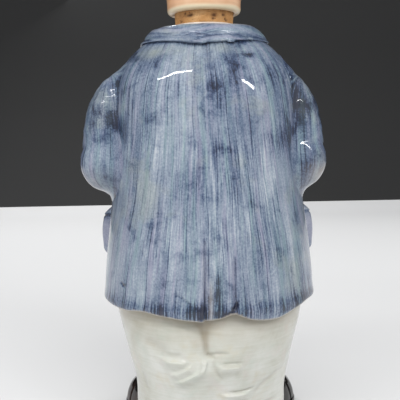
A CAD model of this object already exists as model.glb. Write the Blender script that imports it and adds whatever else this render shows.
"""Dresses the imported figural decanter: glazed clay forms, painted head, cork, studio and camera.

Lengths are in millimetres in the figure's own axes: Z up from the soles, the figure faces -Y, its left
hand is on +X, and the axis of the mouth is X = Y = 0. add_piece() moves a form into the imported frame, in
metres. A form is a field: a function of x, y and z arrays that is negative inside it, and near the distance
from its surface.
"""

from math import cos, pi, radians, sin

import bpy
import numpy as np
from mathutils import Matrix, Vector


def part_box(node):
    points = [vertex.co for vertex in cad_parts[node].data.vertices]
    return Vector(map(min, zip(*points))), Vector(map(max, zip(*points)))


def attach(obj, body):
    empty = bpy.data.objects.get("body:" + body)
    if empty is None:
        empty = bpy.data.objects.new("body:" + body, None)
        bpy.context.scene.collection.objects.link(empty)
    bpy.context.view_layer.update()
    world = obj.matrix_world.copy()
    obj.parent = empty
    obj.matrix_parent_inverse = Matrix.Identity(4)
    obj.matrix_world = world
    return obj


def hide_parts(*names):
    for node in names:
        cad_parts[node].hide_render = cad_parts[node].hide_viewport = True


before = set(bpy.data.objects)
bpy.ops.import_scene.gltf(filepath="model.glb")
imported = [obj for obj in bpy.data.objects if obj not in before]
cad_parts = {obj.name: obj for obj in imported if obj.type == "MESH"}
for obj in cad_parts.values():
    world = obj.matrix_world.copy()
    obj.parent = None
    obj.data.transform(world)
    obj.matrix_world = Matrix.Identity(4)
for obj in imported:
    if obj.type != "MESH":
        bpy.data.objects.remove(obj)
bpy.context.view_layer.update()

METRES_PER_MM = 0.001
TUBE_LOW, TUBE_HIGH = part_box("neck_tube")
AXIS_Y = (TUBE_LOW[1] + TUBE_HIGH[1]) / 2
MIRROR = np.array([-1.0, 1.0, 1.0])

# Driving sizes, the same as the solids have.
JACKET_HALF_WIDTH = 52.5
JACKET_HALF_DEPTH = 45.0
HEM_Z = 69.0
COLLAR_TOP_Z = 201.5
TROUSERS_HALF_WIDTH = 47.0
TROUSERS_HALF_DEPTH = 38.5
HEAD_BASE_Z = 208.5
HEAD_HEIGHT = 76.0
HEAD_HALF_WIDTH = 23.5
HEAD_HALF_DEPTH = 29.0
MOUTH_TOP_Z = 202.6
CORK_CLEARANCE = 0.12
CORK_TOP_RADIUS = 14.9
CORK_BOTTOM_RADIUS = 12.6
CORK_BOTTOM_Z = 181.0
CORK_TOP_Z = 217.5


# Curves and fields

def smooth_curve(knots, values):
    """A smooth curve through values at rising knots, held level past its ends."""
    knots = np.asarray(knots, float)
    values = np.asarray(values, float)
    slopes = np.gradient(values, knots)

    def curve(t):
        t = np.clip(t, knots[0], knots[-1])
        place = np.clip(np.searchsorted(knots, t) - 1, 0, len(knots) - 2)
        span = knots[place + 1] - knots[place]
        s = (t - knots[place]) / span
        start = (1 + 2 * s) * (1 - s) ** 2 * values[place] + s * (1 - s) ** 2 * span * slopes[place]
        end = s * s * (3 - 2 * s) * values[place + 1] + s * s * (s - 1) * span * slopes[place + 1]
        return start + end

    return curve


def smooth_step(low, high, t):
    s = np.clip((t - low) / (high - low), 0, 1)
    return s * s * (3 - 2 * s)


def bump(distance, width):
    """1 at no distance, falling smoothly to 0 over about twice the width."""
    return np.exp(-((distance / width) ** 2))


def join(a, b, fillet):
    """The union of two forms, with a fillet as wide as given."""
    h = np.maximum(fillet - np.abs(a - b), 0) / fillet
    return np.minimum(a, b) - h * h * fillet / 4


def common(a, b, rounding):
    """What two forms share, with its edges rounded."""
    return -join(-a, -b, rounding)


def laid_on(form, under, sunk=1.0):
    """A form without what lies deeper than sunk inside the form under it."""
    return np.maximum(form, -(under + sunk))


def oval_body(rows, rounding):
    """A body of oval sections (z, half width, half depth, middle y) with rounded ends."""
    heights, widths, depths, middles = np.array(rows, float).T
    width, depth, middle = (smooth_curve(heights, column) for column in (widths, depths, middles))
    half = (heights[-1] - heights[0]) / 2
    centre = (heights[-1] + heights[0]) / 2

    def field(x, y, z):
        a = width(z)
        b = depth(z)
        away = y - middle(z)
        ratio = np.sqrt((x / a) ** 2 + (away / b) ** 2) + 1e-6
        gradient = np.sqrt((x / a**2) ** 2 + (away / b**2) ** 2) / ratio + 1e-6
        slope = (width(z + 0.5) - width(z - 0.5) + depth(z + 0.5) - depth(z - 0.5)) / 2
        side = (ratio - 1) / gradient / np.sqrt(1 + slope**2)
        return common(side, np.abs(z - centre) - half, rounding)

    return field


def ellipsoid(centre, sizes):
    def field(x, y, z):
        u, v, w = ((p - c) / s for p, c, s in zip((x, y, z), centre, sizes))
        ratio = np.sqrt(u * u + v * v + w * w) + 1e-6
        slope = np.sqrt((u / sizes[0]) ** 2 + (v / sizes[1]) ** 2 + (w / sizes[2]) ** 2) / ratio
        return (ratio - 1) / (slope + 1e-6)

    return field


def limb(centres, radii, steps=12):
    """A round bar through centres, its thickness changing smoothly through the radii."""
    centres = np.array(centres, float)
    lengths = np.concatenate([[0], np.cumsum(np.linalg.norm(np.diff(centres, axis=0), axis=1))])
    samples = np.linspace(0, lengths[-1], steps + 1)
    path = np.stack([smooth_curve(lengths, column)(samples) for column in centres.T], axis=1)
    thickness = smooth_curve(lengths, radii)(samples)

    def field(x, y, z):
        nearest = np.full(np.shape(x), 1e3)
        for start, end, low, high in zip(path, path[1:], thickness, thickness[1:]):
            run = end - start
            offset = (x - start[0], y - start[1], z - start[2])
            t = np.clip(sum(o * r for o, r in zip(offset, run)) / (run @ run), 0, 1)
            gap = np.sqrt(sum((o - r * t) ** 2 for o, r in zip(offset, run)))
            nearest = np.minimum(nearest, gap - low - (high - low) * t)
        return nearest

    return field


def outline(points):
    """Signed distance from a closed flat outline, negative inside."""
    corners = np.array(points, float)

    def field(u, v):
        nearest = np.full(np.shape(u), 1e6)
        sign = np.ones(np.shape(u))
        for start, end in zip(corners, np.roll(corners, -1, axis=0)):
            run = end - start
            du = u - start[0]
            dv = v - start[1]
            t = np.clip((du * run[0] + dv * run[1]) / (run @ run), 0, 1)
            nearest = np.minimum(nearest, (du - run[0] * t) ** 2 + (dv - run[1] * t) ** 2)
            above_start = v >= start[1]
            above_end = v >= end[1]
            turn = run[0] * dv - run[1] * du
            crosses = (above_start & ~above_end & (turn < 0)) | (~above_start & above_end & (turn > 0))
            sign = np.where(crosses, -sign, sign)
        return sign * np.sqrt(nearest)

    return field


def crease(u, v, start, end, bend, width, lower_width=None):
    """1 along a line from start to end, bowed sideways by bend, fading out at its ends and sides.

    For a line that runs towards -u, lower_width is its width on the side of lower v.
    """
    run = np.subtract(end, start)
    length = np.hypot(*run)
    du = u - start[0]
    dv = v - start[1]
    t = (du * run[0] + dv * run[1]) / length**2
    across = (dv * run[0] - du * run[1]) / length - bend * 4 * t * (1 - t)
    side = np.where(across > 0, lower_width or width, width)
    return bump(across, side) * smooth_step(-0.12, 0.22, t) * smooth_step(1.12, 0.78, t)


def wander(x, y, z, size, seed):
    """Soft uneven waves between about -1 and 1, for hand-made surfaces."""
    random = np.random.default_rng(seed)
    waves = 5
    total = 0
    for _ in range(waves):
        direction = random.normal(size=3)
        direction /= np.linalg.norm(direction)
        turns = 2 * pi / (size * random.uniform(0.6, 1.5))
        phase = (x * direction[0] + y * direction[1] + z * direction[2]) * turns
        total = total + np.sin(phase + random.uniform(0, 2 * pi))
    return 2 * total / waves


# Meshes from fields

def sampled(field, low, high, step):
    """The field on a grid. Far from the surface only its sign is right, which saves most of the time."""
    block = 4
    far = step * block * 1.35
    blocks_at_once = 6000
    low = np.asarray(low, float)
    blocks = np.ceil((np.asarray(high, float) - low) / (step * block)).astype(int)
    index = np.indices(blocks).reshape(3, -1).T
    middles = low + (index + 0.5) * block * step - step / 2
    rough = field(*middles.T)
    values = np.repeat(np.repeat(np.repeat(rough.reshape(blocks), block, 0), block, 1), block, 2)
    inner = np.indices((block, block, block)).reshape(3, -1).T
    near = index[np.abs(rough) < far]
    for part in np.array_split(near, max(1, len(near) // blocks_at_once)):
        cells = (part[:, None, :] * block + inner[None, :, :]).reshape(-1, 3)
        values[tuple(cells.T)] = field(*(low + cells * step).T)
    return values


def net(values):
    """Vertices in grid units and four-sided faces round the zero surface of sampled values."""
    inside = values < 0
    total = np.zeros((*values.shape, 3))
    count = np.zeros(values.shape)
    crossings = []
    for axis in range(3):
        first = np.take(inside, range(values.shape[axis] - 1), axis)
        second = np.take(inside, range(1, values.shape[axis]), axis)
        cells = np.argwhere(first != second)
        cells = cells[np.all((cells > 0) & (cells < np.array(values.shape) - 1), axis=1)]
        ends = cells.copy()
        ends[:, axis] += 1
        low = values[tuple(cells.T)]
        high = values[tuple(ends.T)]
        points = cells.astype(float)
        points[:, axis] += low / (low - high)
        others = [other for other in range(3) if other != axis]
        around = []
        for u, v in ((0, 0), (1, 0), (1, 1), (0, 1)):
            owner = cells.copy()
            owner[:, others[0]] -= u
            owner[:, others[1]] -= v
            around.append(owner)
            np.add.at(total, tuple(owner.T), points)
            np.add.at(count, tuple(owner.T), 1)
        crossings.append((around, inside[tuple(cells.T)], axis))
    used = count > 0
    number = np.full(values.shape, -1)
    number[used] = np.arange(used.sum())
    vertices = total[used] / count[used][:, None]
    faces = []
    for around, low_inside, axis in crossings:
        quads = np.stack([number[tuple(owner.T)] for owner in around], axis=1)
        flip = low_inside if axis == 1 else ~low_inside
        quads[flip] = quads[flip][:, ::-1]
        faces.append(quads)
    return vertices, np.concatenate(faces)


def gradient(field, points, reach):
    """The field's slopes at points, from its values a reach to each side."""
    slopes = []
    for axis in range(3):
        shift = np.zeros(3)
        shift[axis] = reach
        slopes.append((field(*(points + shift).T) - field(*(points - shift).T)) / (2 * reach))
    return np.stack(slopes, axis=1)


def sculpt(field, low, high, step):
    """Vertices on the field's surface between the corners low and high, faces and outward normals."""
    vertices, faces = net(sampled(field, low, high, step))
    vertices = np.asarray(low, float) + vertices * step
    for _ in range(3):
        slopes = gradient(field, vertices, step * 0.2)
        move = field(*vertices.T)[:, None] * slopes / np.maximum((slopes**2).sum(1, keepdims=True), 0.2)
        vertices -= np.clip(move, -step / 2, step / 2)
    slopes = gradient(field, vertices, step * 0.35)
    normals = slopes / np.maximum(np.linalg.norm(slopes, axis=1, keepdims=True), 1e-6)
    return vertices, faces, normals


def lathe(profile, sides):
    """A closed turned form from a profile (radius, z) that starts and ends on the axis or meets itself.

    It has no normals of its own.
    """
    angles = np.arange(sides) * 2 * pi / sides
    ring = np.column_stack([np.cos(angles), np.sin(angles)])
    vertices = np.concatenate([np.column_stack([radius * ring, np.full(sides, z)]) for radius, z in profile])
    rows = np.arange(len(profile) - 1)[:, None] * sides
    side = np.arange(sides)[None, :]
    after = (side + 1) % sides
    corners = (rows + side, rows + after, rows + sides + after, rows + sides + side)
    return vertices, np.stack(corners, axis=2).reshape(-1, 4), None


def mirrored(vertices, faces, normals):
    return vertices * MIRROR, faces[:, ::-1], normals * MIRROR


def add_piece(name, body, glaze, shape, replaces=(), **facts):
    """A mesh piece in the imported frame, with a float attribute for each fact.

    A glaze is the name of a slot and a material. A fact is an array over the vertices or one number.
    """
    slot, material = glaze
    vertices, faces, normals = shape
    places = (vertices + np.array([0, AXIS_Y / METRES_PER_MM, 0])) * METRES_PER_MM
    mesh = bpy.data.meshes.new(name)
    mesh.vertices.add(len(places))
    mesh.vertices.foreach_set("co", places.astype(np.float32).ravel())
    mesh.loops.add(faces.size)
    mesh.loops.foreach_set("vertex_index", faces.astype(np.int32).ravel())
    mesh.polygons.add(len(faces))
    mesh.polygons.foreach_set("loop_start", np.arange(0, faces.size, faces.shape[1], dtype=np.int32))
    mesh.update(calc_edges=True)
    mesh.validate()
    mesh.polygons.foreach_set("use_smooth", np.ones(len(mesh.polygons), dtype=bool))
    for key, values in facts.items():
        layer = mesh.attributes.new(key, "FLOAT", "POINT")
        layer.data.foreach_set("value", np.broadcast_to(values, len(vertices)).astype(np.float32).copy())
    if normals is not None:
        mesh.normals_split_custom_set_from_vertices(normals.astype(np.float32))
    mesh.materials.append(material)
    piece = bpy.data.objects.new(name, mesh)
    bpy.context.scene.collection.objects.link(piece)
    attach(piece, body)
    if replaces:
        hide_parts(*replaces)


# Materials

class Nodes:
    """A short way to write a material's nodes."""

    def __init__(self, name):
        self.material = bpy.data.materials.new(name)
        self.material.use_nodes = True
        self.tree = self.material.node_tree
        self.shader = self.tree.nodes["Principled BSDF"]

    def set(self, socket, value):
        if isinstance(value, bpy.types.NodeSocket):
            self.tree.links.new(value, socket)
        else:
            socket.default_value = value

    def new(self, kind, **inputs):
        node = self.tree.nodes.new(kind)
        for key, value in inputs.items():
            self.set(node.inputs[key.replace("_", " ")], value)
        return node

    def maths(self, operation, *values):
        node = self.tree.nodes.new("ShaderNodeMath")
        node.operation = operation
        for socket, value in zip(node.inputs, values):
            self.set(socket, value)
        return node.outputs[0]

    def times(self, first, second):
        return self.maths("MULTIPLY", first, second)

    def add(self, start, *shares):
        """The start with each further value times its weight added."""
        for value, weight in shares:
            start = self.maths("MULTIPLY_ADD", value, weight, start)
        return start

    def attribute(self, name, weight=1.0):
        """A fact that add_piece() wrote on the mesh, times a weight."""
        node = self.tree.nodes.new("ShaderNodeAttribute")
        node.attribute_name = name
        return self.times(node.outputs["Fac"], weight)

    def place(self, across, along):
        """A point from two measures in millimetres."""
        return self.new("ShaderNodeCombineXYZ", X=across, Y=along).outputs[0]

    def object_place(self):
        return self.tree.nodes.new("ShaderNodeTexCoord").outputs["Object"]

    def noise(self, place, scale, detail, roughness=0.55, distortion=0.0):
        settings = {"Scale": scale, "Detail": detail, "Roughness": roughness, "Distortion": distortion}
        return self.new("ShaderNodeTexNoise", Vector=place, **settings).outputs["Fac"]

    def ramp(self, value, stops):
        node = self.tree.nodes.new("ShaderNodeValToRGB")
        self.set(node.inputs[0], value)
        elements = node.color_ramp.elements
        while len(elements) < len(stops):
            elements.new(1.0)
        for element, (position, colour) in zip(elements, stops):
            element.position = position
            element.color = (*colour, 1.0)
        return node.outputs[0]

    def level(self, value, low, high, start=0.0, end=1.0):
        """The value moved from the stretch low to high onto start to end, and held there."""
        limits = {"From_Min": low, "From_Max": high, "To_Min": start, "To_Max": end}
        return self.new("ShaderNodeMapRange", Value=value, **limits).outputs[0]

    def tint(self, colour, *layers):
        """The colour under layers, each one a factor and a colour."""
        for factor, over in layers:
            node = self.tree.nodes.new("ShaderNodeMix")
            node.data_type = "RGBA"
            self.set(node.inputs[0], factor)
            self.set(node.inputs[6], colour)
            self.set(node.inputs[7], (*over, 1.0))
            colour = node.outputs[2]
        return colour

    def relief(self, height, distance, strength):
        bumps = self.new("ShaderNodeBump", Height=height, Distance=distance, Strength=strength)
        self.tree.links.new(bumps.outputs[0], self.shader.inputs["Normal"])

    def finish(self, colour, roughness, coat=0.0, coat_roughness=0.03):
        self.set(self.shader.inputs["Base Color"], (*colour, 1.0) if isinstance(colour, tuple) else colour)
        self.set(self.shader.inputs["Roughness"], roughness)
        self.shader.inputs["Coat Weight"].default_value = coat
        self.shader.inputs["Coat Roughness"].default_value = coat_roughness
        return self.material


def blue_glaze():
    """Blue stain brushed in long strokes over pale clay, under clear glaze.

    The paint is counted in steps of tone, from -4 where it is darkest to 4.
    """
    m = Nodes("blue glaze")
    across = m.attribute("across")
    along = m.attribute("along")
    here = m.object_place()
    sway = m.noise(m.place(across, m.times(along, 0.35)), 0.035, 2.0)
    bent = m.add(across, (sway, 7.0))

    def strokes(scale, stretch, detail):
        place = m.place(bent, m.times(along, stretch))
        return m.level(m.noise(place, scale, detail, 0.6), 0.30, 0.70, -1.0, 1.0)

    def clouds(scale, detail):
        return m.level(m.noise(here, scale, detail, 0.6, 0.3), 0.30, 0.70, -1.0, 1.0)

    bristle = strokes(1.7, 0.035, 2.5)
    stroke = strokes(0.55, 0.045, 2.0)
    grain = clouds(1100.0, 2.0)
    smudge = clouds(95.0, 5.0)
    shoulder = m.level(along, 164.0, 186.0)
    brushed = m.add(m.level(clouds(38.0, 2.0), -0.7, 0.7, 0.55, 1.35), (shoulder, -0.55))
    ragged = m.level(m.add(bristle, (grain, 0.2)), -1.0, 1.0, 4.2, 1.6)
    paint = m.add(
        m.level(along, 150.0, 100.0, -0.25, 0.35),
        (strokes(0.20, 0.05, 1.5), 0.75),
        (strokes(0.075, 0.09, 2.0), 0.80),
        (m.add(m.times(stroke, 0.75), (bristle, 1.15)), brushed),
        (clouds(30.0, 3.0), 0.85),
        (smudge, 0.50),
        (grain, 0.75),
        (m.level(smudge, -0.35, -1.0, 0.0, 1.5), -1.0),
        (m.times(smudge, shoulder), 0.7),
        (m.level(strokes(1.1, 0.02, 1.0), -0.55, -0.9, 0.0, 1.9), -1.0),
        (m.times(m.attribute("dark"), ragged), -1.0),
    )
    tone = m.level(paint, -4.0, 4.0)
    colour = m.ramp(tone, [
        (0.02, (0.003, 0.008, 0.028)),
        (0.16, (0.026, 0.048, 0.108)),
        (0.30, (0.086, 0.126, 0.204)),
        (0.42, (0.152, 0.196, 0.272)),
        (0.52, (0.216, 0.264, 0.336)),
        (0.64, (0.300, 0.348, 0.416)),
        (0.78, (0.410, 0.450, 0.505)),
        (0.95, (0.550, 0.575, 0.600)),
    ])
    light = m.level(tone, 0.15, 0.45, 0.15, 1.0)
    hue = strokes(0.32, 0.05, 2.0)
    cloudy = m.times(m.level(clouds(52.0, 3.0), 0.30, 0.95, 0.0, 0.30), light)
    stained = m.times(m.attribute("olive"), m.level(smudge, -0.8, 0.6, 0.2, 1.0))
    colour = m.tint(
        colour,
        (m.times(m.level(hue, 0.15, 0.9, 0.0, 0.40), light), (0.30, 0.27, 0.38)),
        (m.times(m.level(hue, -0.15, -0.9, 0.0, 0.45), light), (0.17, 0.29, 0.30)),
        (m.maths("MAXIMUM", cloudy, stained), (0.31, 0.34, 0.27)),
        (m.attribute("bare", 0.85), (0.56, 0.50, 0.42)),
    )
    m.relief(m.add(stroke, (grain, 1.0)), 0.0004, 0.15)
    return m.finish(colour, m.level(grain, -1.0, 1.0, 0.34, 0.46), coat=0.9, coat_roughness=0.035)


def ivory_glaze():
    """Ivory glaze with faint yellow and green clouds, browner where it pools."""
    m = Nodes("ivory glaze")
    here = m.object_place()
    cloud = m.noise(here, 42.0, 4.0, 0.6, 0.4)
    drift = m.noise(here, 90.0, 4.0, 0.65)
    blush = m.noise(here, 120.0, 3.0, 0.6)
    brush = m.noise(m.place(m.attribute("across", 0.10), m.attribute("along")), 0.7, 4.0, 0.6)
    colour = m.ramp(cloud, [
        (0.30, (0.480, 0.475, 0.400)),
        (0.48, (0.585, 0.592, 0.530)),
        (0.66, (0.665, 0.668, 0.625)),
    ])
    colour = m.tint(
        colour,
        (m.level(drift, 0.54, 0.74, 0.0, 0.40), (0.58, 0.50, 0.32)),
        (m.level(drift, 0.46, 0.28, 0.0, 0.35), (0.46, 0.54, 0.47)),
        (m.level(brush, 0.50, 0.72, 0.0, 0.28), (0.43, 0.41, 0.32)),
        (m.level(brush, 0.46, 0.28, 0.0, 0.30), (0.74, 0.74, 0.71)),
        (m.level(blush, 0.56, 0.72, 0.0, 0.22), (0.64, 0.52, 0.50)),
        (m.attribute("dark", 0.75), (0.26, 0.21, 0.14)),
    )
    m.relief(m.noise(here, 160.0, 2.0), 0.0005, 0.12)
    return m.finish(colour, m.level(drift, 0.3, 0.7, 0.34, 0.46), coat=0.9, coat_roughness=0.035)


def plain_glaze(name, colours, scale, roughness, coat=0.4, specular=0.5):
    """A glaze of one colour in three tones that change slowly."""
    m = Nodes(name)
    here = m.object_place()
    tone = m.noise(here, scale, 4.0, 0.6)
    colour = m.ramp(tone, list(zip((0.32, 0.50, 0.68), colours)))
    colour = m.tint(colour, (m.attribute("dark", 0.8), [0.25 * value for value in colours[0]]))
    m.relief(m.noise(here, 130.0, 2.0), 0.0004, 0.25)
    m.shader.inputs["Specular IOR Level"].default_value = specular
    return m.finish(colour, m.level(tone, 0.3, 0.7, roughness * 0.8, roughness * 1.3), coat=coat)


def flesh_glaze():
    """Painted flesh with blush, lips and brows from the mesh, and a pale bare rim at the neck."""
    m = Nodes("flesh glaze")
    here = m.object_place()
    tone = m.noise(here, 55.0, 4.0, 0.6)
    hairs = m.level(m.noise(here, 900.0, 2.0), 0.3, 0.55, 0.55, 1.0)
    colour = m.tint(
        m.ramp(tone, [(0.32, (0.57, 0.28, 0.135)), (0.52, (0.67, 0.36, 0.195)), (0.70, (0.74, 0.45, 0.27))]),
        (m.attribute("blush", 0.45), (0.72, 0.20, 0.13)),
        (m.attribute("lips", 0.75), (0.56, 0.19, 0.14)),
        (m.times(m.attribute("brow"), hairs), (0.13, 0.045, 0.02)),
        (m.attribute("bare"), (0.72, 0.62, 0.43)),
        (m.attribute("dark", 0.7), (0.20, 0.08, 0.05)),
    )
    m.relief(m.noise(here, 140.0, 2.0), 0.0003, 0.25)
    return m.finish(colour, m.level(tone, 0.3, 0.7, 0.34, 0.46), coat=0.7, coat_roughness=0.05)


def hair_glaze():
    """Auburn brushed along the strands, lighter on their crests."""
    m = Nodes("hair glaze")
    bristle = m.noise(m.place(m.attribute("across"), m.attribute("along", 0.08)), 1.6, 4.0, 0.7)
    colour = m.ramp(m.add(m.attribute("crest", 0.45), (bristle, 0.6)), [
        (0.15, (0.060, 0.020, 0.008)),
        (0.42, (0.150, 0.052, 0.019)),
        (0.65, (0.240, 0.090, 0.031)),
        (0.92, (0.360, 0.155, 0.058)),
    ])
    m.relief(m.add(bristle, (m.noise(m.object_place(), 140.0, 2.0), 1.0)), 0.0003, 0.35)
    return m.finish(colour, m.level(bristle, 0.3, 0.7, 0.30, 0.42), coat=0.6, coat_roughness=0.06)


def cork_bark():
    """Natural cork: golden tan with grain, dark pores and crumbly pits."""
    m = Nodes("cork")
    here = m.object_place()
    cells = m.noise(here, 900.0, 3.0, 0.7)
    cloud = m.noise(here, 130.0, 4.0, 0.6)
    pores = m.noise(m.place(m.attribute("across"), m.attribute("along")), 0.42, 3.0, 0.6)
    colour = m.tint(
        m.ramp(cloud, [(0.30, (0.36, 0.17, 0.06)), (0.50, (0.48, 0.25, 0.09)), (0.68, (0.58, 0.34, 0.15))]),
        (m.level(cells, 0.62, 0.74, 0.0, 0.55), (0.20, 0.08, 0.03)),
        (m.level(pores, 0.62, 0.70, 0.0, 0.75), (0.13, 0.045, 0.018)),
        (m.attribute("dark"), (0.055, 0.018, 0.008)),
    )
    m.relief(m.add(cells, (cloud, 1.5)), 0.0005, 0.8)
    return m.finish(colour, m.level(cells, 0.3, 0.7, 0.62, 0.85))


def eye_paint():
    """White, ring, iris and pupil, painted in circles by the distance from the middle of the eye."""
    m = Nodes("eye paint")
    colour = m.ramp(m.attribute("ring"), [
        (0.00, (0.006, 0.005, 0.005)),
        (0.17, (0.006, 0.005, 0.005)),
        (0.20, (0.130, 0.075, 0.030)),
        (0.38, (0.085, 0.045, 0.018)),
        (0.42, (0.020, 0.012, 0.008)),
        (0.46, (0.760, 0.720, 0.660)),
        (1.00, (0.720, 0.660, 0.600)),
    ])
    return m.finish(colour, 0.10, coat=0.5)


# Jacket

# Sections as shares of a body's height, half width and half depth, and how far forwards their middle lies.
TORSO_SHARES = [
    (-0.09, 1.000, 0.985, 0.02),
    (0.06, 1.000, 1.000, 0.03),
    (0.24, 0.958, 1.000, 0.06),
    (0.38, 0.910, 0.970, 0.07),
    (0.58, 0.890, 0.905, 0.06),
    (0.73, 0.860, 0.830, 0.03),
    (0.84, 0.790, 0.715, 0.00),
    (0.915, 0.650, 0.590, -0.02),
    (0.965, 0.490, 0.480, -0.04),
]
# Scallops of the hem: share of the half width, and height in units of HEM_WAVE.
HEM_WAVE = 3.0
HEM_BACK_SHARES = [
    (-1.15, 0.5), (-0.98, 0.5), (-0.88, 0.6), (-0.76, -0.1), (-0.58, -0.9), (-0.36, -0.6), (-0.18, 0.5),
    (-0.08, -0.2), (0.03, -0.45), (0.22, -0.35), (0.40, 0.1), (0.58, 0.5), (0.80, 0.2), (0.98, 0.5),
    (1.15, 0.5),
]
HEM_FRONT_SHARES = [
    (-1.15, 0.5), (-0.98, 0.5), (-0.80, 0.1), (-0.55, -0.5), (-0.30, -1.1), (-0.14, -0.6), (-0.05, 1.9),
    (0.02, 4.6), (0.09, 1.9), (0.18, -0.6), (0.34, -1.1), (0.57, -0.5), (0.80, 0.1), (0.98, 0.5),
    (1.15, 0.5),
]
TROUSERS_SHARES = [
    (0.00, 0.790, 0.745, -0.02),
    (0.12, 0.800, 0.770, -0.02),
    (0.27, 0.806, 0.850, -0.02),
    (0.46, 0.868, 0.950, -0.03),
    (0.60, 0.925, 0.985, -0.03),
    (0.75, 0.985, 1.000, 0.00),
    (0.88, 1.005, 0.990, 0.02),
    (1.00, 1.010, 0.980, 0.02),
]
LEG_BOTTOM_Z = 4.0
SEAM_Z = 86.2
JACKET_RISE = COLLAR_TOP_Z - HEM_Z


def body_rows(shares, base_z, rise, half_width, half_depth):
    """Rows for oval_body() from sections given as shares."""
    return [(base_z + z * rise, a * half_width, b * half_depth, -y * half_depth) for z, a, b, y in shares]


def jacket_point(x_share, forward_share, z_share):
    height = HEM_Z + z_share * JACKET_RISE
    return np.array([x_share * JACKET_HALF_WIDTH, -forward_share * JACKET_HALF_DEPTH, height])


JACKET_ROWS = body_rows(TORSO_SHARES, HEM_Z, JACKET_RISE, JACKET_HALF_WIDTH, JACKET_HALF_DEPTH)
TROUSERS_ROWS = body_rows(
    TROUSERS_SHARES, LEG_BOTTOM_Z, SEAM_Z - LEG_BOTTOM_Z, TROUSERS_HALF_WIDTH, TROUSERS_HALF_DEPTH
)
torso_oval = oval_body(JACKET_ROWS, 2.0)
trousers_oval = oval_body(TROUSERS_ROWS, 2.5)
hem_back = smooth_curve(*zip(*HEM_BACK_SHARES))
hem_front = smooth_curve(*zip(*HEM_FRONT_SHARES))


def hem_height(x, y):
    share = x / JACKET_HALF_WIDTH
    wave = np.where(y > 0, hem_back(share), hem_front(share))
    side = smooth_step(0, 6, np.abs(y))
    return HEM_Z + HEM_WAVE * (wave * side + 0.5 * (1 - side))


VENT_TOP_Z = 105.0
VENT_TOP_X = 2.0
VENT_FOOT_X = 2.7
FLAP_CREASE_X = -11.3
# Marks that the modeller's tool left in the back: start, end, bow, width and depth.
BACK_MARKS = [
    ((16.2, 80.1), (7.9, 74.5), -0.6, 0.45, 0.50),
    ((10.9, 84.5), (10.6, 79.0), 0.2, 0.40, 0.40),
    ((-6.7, 70.5), (-12.4, 76.6), 0.9, 0.80, 0.75),
    ((-20.0, 73.8), (-24.5, 76.6), 0.3, 0.40, 0.30),
    ((41.5, 83.0), (39.5, 80.6), 0.0, 0.55, 0.45),
    ((30.5, 99.0), (29.5, 96.0), 0.3, 0.40, 0.25),
    ((-10.6, 104.0), (-9.8, 99.0), 0.2, 0.40, 0.25),
    ((-15.0, 108.0), (-16.0, 103.0), 0.2, 0.45, 0.30),
    ((-17.6, 186.6), (-21.4, 185.8), 0.3, 0.90, 0.35),
]
# Soft folds of the skirt: x at the hem, width, height, and the height above the soles where they end.
SKIRT_FOLDS = [(-31, 4.5, 0.55, 120), (24, 5.5, 0.60, 128), (38, 3.5, 0.50, 110), (-44, 3.0, 0.40, 112)]
BLADES_X = (-23, 25)
BLADES_Z = 172
# Heights at which the cloth is pulled towards the front's buttons.
PULLS_Z = (140, 131, 96)
THROAT_RADIUS = 12.7
THROAT_BOTTOM_Z = 130.0


def vent_x(z):
    """Where the centre back slit runs at a height."""
    t = np.clip((VENT_TOP_Z - z) / (VENT_TOP_Z - HEM_Z), 0, 1.3)
    return VENT_TOP_X + (VENT_FOOT_X - VENT_TOP_X) * t


def behind(y):
    """1 on the figure's back, falling to 0 towards its sides."""
    return smooth_step(4, 14, y)


def cloth_relief(x, y, z):
    """How far the jacket's cloth stands proud of the plain oval."""
    slit = x - vent_x(z)
    flap = x - FLAP_CREASE_X
    below_vent = smooth_step(VENT_TOP_Z + 1, VENT_TOP_Z - 5, z)
    sunk = 0.35 + 1.15 * smooth_step(VENT_TOP_Z, HEM_Z + 8, z)
    lap = 0.75 * bump(slit - 1.3, 2.2) - 0.9 * bump(slit + 0.1, 0.7)
    lap -= sunk * smooth_step(0.5, -0.4, slit) * smooth_step(-10.5, -5.5, slit)
    back = below_vent * lap
    back -= smooth_step(101, 90, z) * (0.7 * bump(flap, 0.7) - 0.45 * bump(flap - 2.2, 1.5))
    for start, end, bend, width, depth in BACK_MARKS:
        back -= depth * crease(x, z, start, end, bend, width)
    for fold_x, width, height, top in SKIRT_FOLDS:
        back += height * bump(x - fold_x - (z - HEM_Z) * 0.03, width) * smooth_step(top, top - 40, z)
    for blade_x in BLADES_X:
        back += 1.3 * bump(x - blade_x, 13) * bump(z - BLADES_Z, 14)
    back -= 0.7 * bump(x, 7) * bump(z - 160, 32)
    front = 0.8 * smooth_step(-3.4, -2.4, x) * smooth_step(15, 7, x) * smooth_step(150, 144, z)
    for height in PULLS_Z:
        pull = bump(z - height - 0.005 * x * x, 3.0)
        front += 0.45 * pull * (bump(x - 10, 14) + bump(x + 14, 14))
    relief = back * behind(y) + front * behind(-y) + 0.5 * bump(z - HEM_Z - 2.5, 2.8)
    return relief + 0.22 * wander(x, y, z, 34, 3) + 0.03 * wander(x, y, z, 11, 4)


def torso(x, y, z):
    """The jacket's cloth before its hem is cut."""
    return torso_oval(x, y, z) - cloth_relief(x, y, z)


def jacket(x, y, z):
    shell = common(torso(x, y, z), hem_height(x, y) - z, 1.6)
    throat = np.maximum(np.hypot(x, y) - THROAT_RADIUS, THROAT_BOTTOM_Z - z)
    return np.maximum(common(shell, -(trousers_oval(x, y, z) + 1.0), 0.8), -throat)


# Sleeves, hands and pockets

SLEEVE_RADIUS = 12.2
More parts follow.
